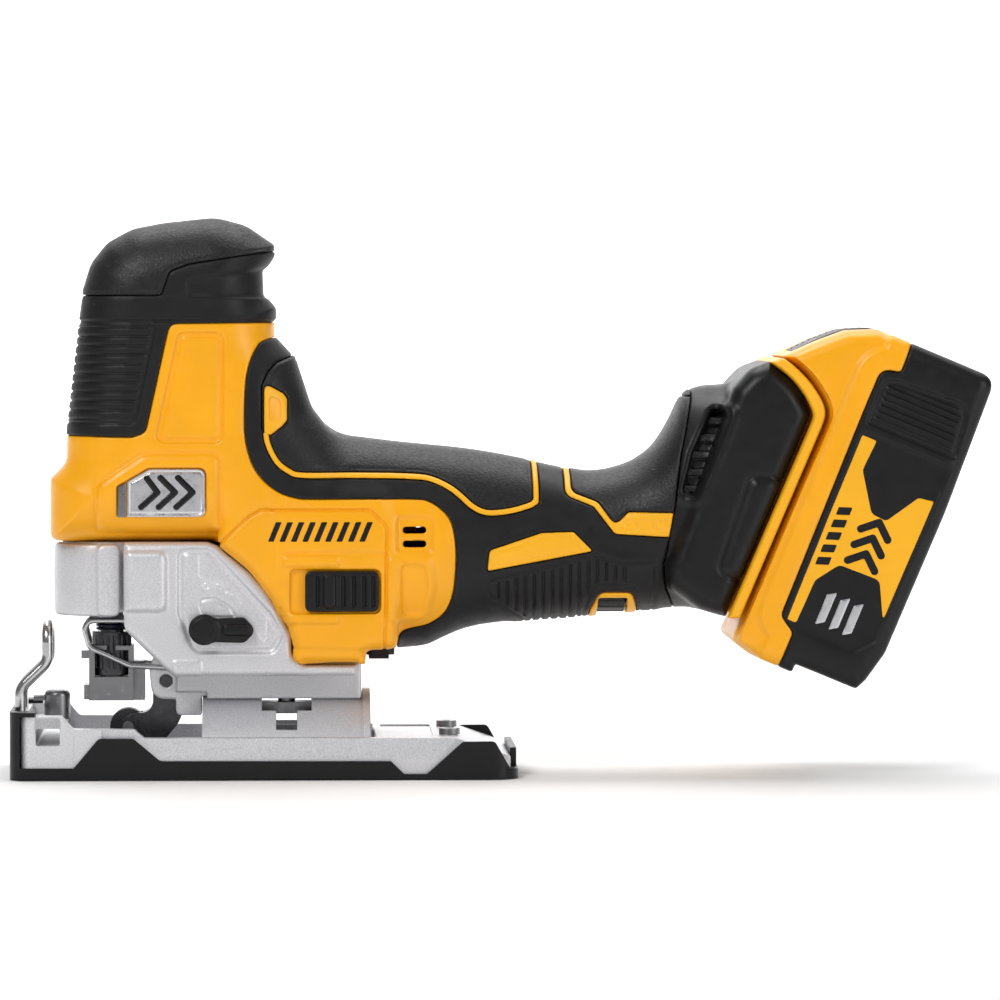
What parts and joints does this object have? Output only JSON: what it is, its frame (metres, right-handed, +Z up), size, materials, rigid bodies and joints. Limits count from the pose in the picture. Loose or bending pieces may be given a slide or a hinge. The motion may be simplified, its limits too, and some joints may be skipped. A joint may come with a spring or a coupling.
{
  "type": "cordless jigsaw",
  "caption": "Cordless barrel-grip jigsaw with a knob front grip, tilting sole plate, orbital blade roller, side slide switch and a slide-on battery pack; no blade fitted.",
  "frame": {"origin": "where the blade's centre line meets the plane of the sole's underside, on the mid-plane", "axes": "+X to the rear (battery), -X the cutting direction, +Y the tool's right-hand side, +Z up along the plunger"},
  "size_m": [0.336, 0.0794, 0.1921],
  "materials": {
    "housing_yellow": "satin moulded glass-filled nylon",
    "trim_yellow": "smooth satin plastic trim",
    "grip_rubber": "smooth soft overmould",
    "pad_rubber": "overmould with fine leather-like grain",
    "black_plastic": "fine spark-eroded texture",
    "gloss_black": "smooth moulded",
    "cast_aluminium": "fine blasted die casting",
    "plate_aluminium": "fine blasted die casting",
    "badge_silver": "brushed plate",
    "bright_wire": "bright plated wire",
    "steel": "machined",
    "hardened_steel": "ground and blued",
    "lamination": "stacked sheet edges",
    "sintered_steel": "sintered gear steel",
    "winding": "blue enamelled winding",
    "bronze": "sintered bronze",
    "lens": "clear moulded lens",
    "circuit": "potted circuit",
    "cell_metal": "wrapped cell",
    "blued_spring": "spring wire"
  },
  "bodies": {
    "root": {"main_housing_left": "housing_yellow", "main_housing_right": "housing_yellow", "front_grip": "grip_rubber", "knob_pad": "pad_rubber", "handle_sleeve": "grip_rubber", "top_pad_front": "pad_rubber", "top_pad_rear": "pad_rubber", "side_badges": "trim_yellow", "dial_bezel": "trim_yellow", "badge_plates": "badge_silver", "battery_foot": "black_plastic", "foot_trim_ring": "trim_yellow", "housing_screws": "hardened_steel", "gear_case": "cast_aluminium", "wire_guard": "bright_wire", "led_lens": "lens", "motor_stator": "lamination", "stator_windings": "winding", "motor_bearings": "steel", "bearing_plate": "cast_aluminium", "plunger_bushings": "bronze", "counterweight_guides": "steel", "case_pins": "hardened_steel", "switch_module": "black_plastic", "control_module": "circuit", "terminal_block": "black_plastic", "bevel_clamp_bolt": "steel"},
    "rotor": {"rotor_core": "lamination", "rotor_shaft": "steel", "cooling_fan": "black_plastic", "drive_pinion": "hardened_steel"},
    "crank": {"crank_gear": "sintered_steel", "crank_pin": "hardened_steel"},
    "plunger": {"plunger_shaft": "steel", "scotch_yoke": "sintered_steel", "clamp_body": "steel", "clamp_spring": "blued_spring"},
    "collar": {"clamp_collar": "hardened_steel"},
    "counterweight": {"counterweight": "sintered_steel"},
    "lever": {"release_lever": "cast_aluminium"},
    "selector": {"orbit_selector": "gloss_black", "orbit_cam": "steel"},
    "pendulum": {"roller_arm": "hardened_steel", "roller_pin": "steel"},
    "roller": {"blade_roller": "hardened_steel"},
    "switch": {"switch_sliders": "black_plastic", "switch_link": "black_plastic"},
    "dial": {"speed_dial": "gloss_black"},
    "base": {"base_plate": "plate_aluminium", "fence_beam": "plate_aluminium", "base_shoe": "black_plastic", "bevel_saddle": "cast_aluminium", "front_guard_wire": "bright_wire", "base_screws": "steel"},
    "fence_screw": {"fence_clamp_screw": "steel"},
    "bevel_lever": {"bevel_lever": "black_plastic"},
    "battery": {"pack_upper_shell": "housing_yellow", "pack_lower_shell": "black_plastic", "pack_cells": "cell_metal"},
    "button": {"pack_release_button": "gloss_black"}
  },
  "joints": [
    {"name": "rotor_spin", "type": "hinge", "parent": "root", "child": "rotor", "pos_m": [0.085, 0, 0.08], "axis": [1, 0, 0], "continuous": true},
    {"name": "crank_spin", "type": "hinge", "parent": "root", "child": "crank", "pos_m": [0.025, 0, 0.107], "axis": [1, 0, 0], "continuous": true},
    {"name": "plunger_slide", "type": "slide", "parent": "root", "child": "plunger", "axis": [0, 0, 1], "range_m": [0, 0.026]},
    {"name": "counterweight_slide", "type": "slide", "parent": "root", "child": "counterweight", "axis": [0, 0, 1], "range_m": [-0.012, 0]},
    {"name": "lever_swing", "type": "hinge", "parent": "root", "child": "lever", "pos_m": [0.0025, 0, 0.067], "axis": [0, 0, -1], "range_deg": [0, 60], "stiffness_Nm_per_rad": 0.12},
    {"name": "collar_turn", "type": "hinge", "parent": "plunger", "child": "collar", "pos_m": [0.0025, 0, 0.041], "axis": [0, 0, -1], "range_deg": [0, 60]},
    {"name": "selector_turn", "type": "hinge", "parent": "root", "child": "selector", "pos_m": [0.0348, -0.026, 0.0506], "axis": [0, -1, 0], "range_deg": [0, 90]},
    {"name": "pendulum_swing", "type": "hinge", "parent": "root", "child": "pendulum", "pos_m": [0.0214, 0, 0.0319], "axis": [0, 1, 0], "range_deg": [0, 6]},
    {"name": "roller_spin", "type": "hinge", "parent": "pendulum", "child": "roller", "pos_m": [0.0082, 0, 0.01575], "axis": [0, 1, 0], "continuous": true},
    {"name": "switch_slide", "type": "slide", "parent": "root", "child": "switch", "axis": [-1, 0, 0], "range_m": [0, 0.0052]},
    {"name": "dial_turn", "type": "hinge", "parent": "root", "child": "dial", "pos_m": [0.1754, 0, 0.0665], "axis": [1, 0, 0], "range_deg": [-200, 50]},
    {"name": "base_tilt", "type": "hinge", "parent": "root", "child": "base", "pos_m": [0.06, 0, 0], "axis": [1, 0, 0], "range_deg": [-45, 45]},
    {"name": "fence_screw_turn", "type": "hinge", "parent": "base", "child": "fence_screw", "pos_m": [-0.0164, 0, 0.02], "axis": [0, 0, 1], "range_deg": [-90, 90]},
    {"name": "bevel_lever_swing", "type": "hinge", "parent": "root", "child": "bevel_lever", "pos_m": [0.063, 0, 0.041], "axis": [0, 0, 1], "range_deg": [0, 24]},
    {"name": "battery_slide", "type": "slide", "parent": "root", "child": "battery", "axis": [0.3859, 0, 0.9225], "range_m": [0, 0.09]},
    {"name": "button_press", "type": "slide", "parent": "battery", "child": "button", "axis": [0.269, 0, -0.9632], "range_m": [0, 0.0028], "stiffness_N_per_m": 2500, "springref_m": -0.001}
  ],
  "couplings": [
    {"joint": "crank_spin", "follows": "rotor_spin", "ratio": -0.25},
    {"joint": "counterweight_slide", "follows": "plunger_slide", "ratio": -0.46154},
    {"joint": "collar_turn", "follows": "lever_swing", "ratio": 1}
  ]
}
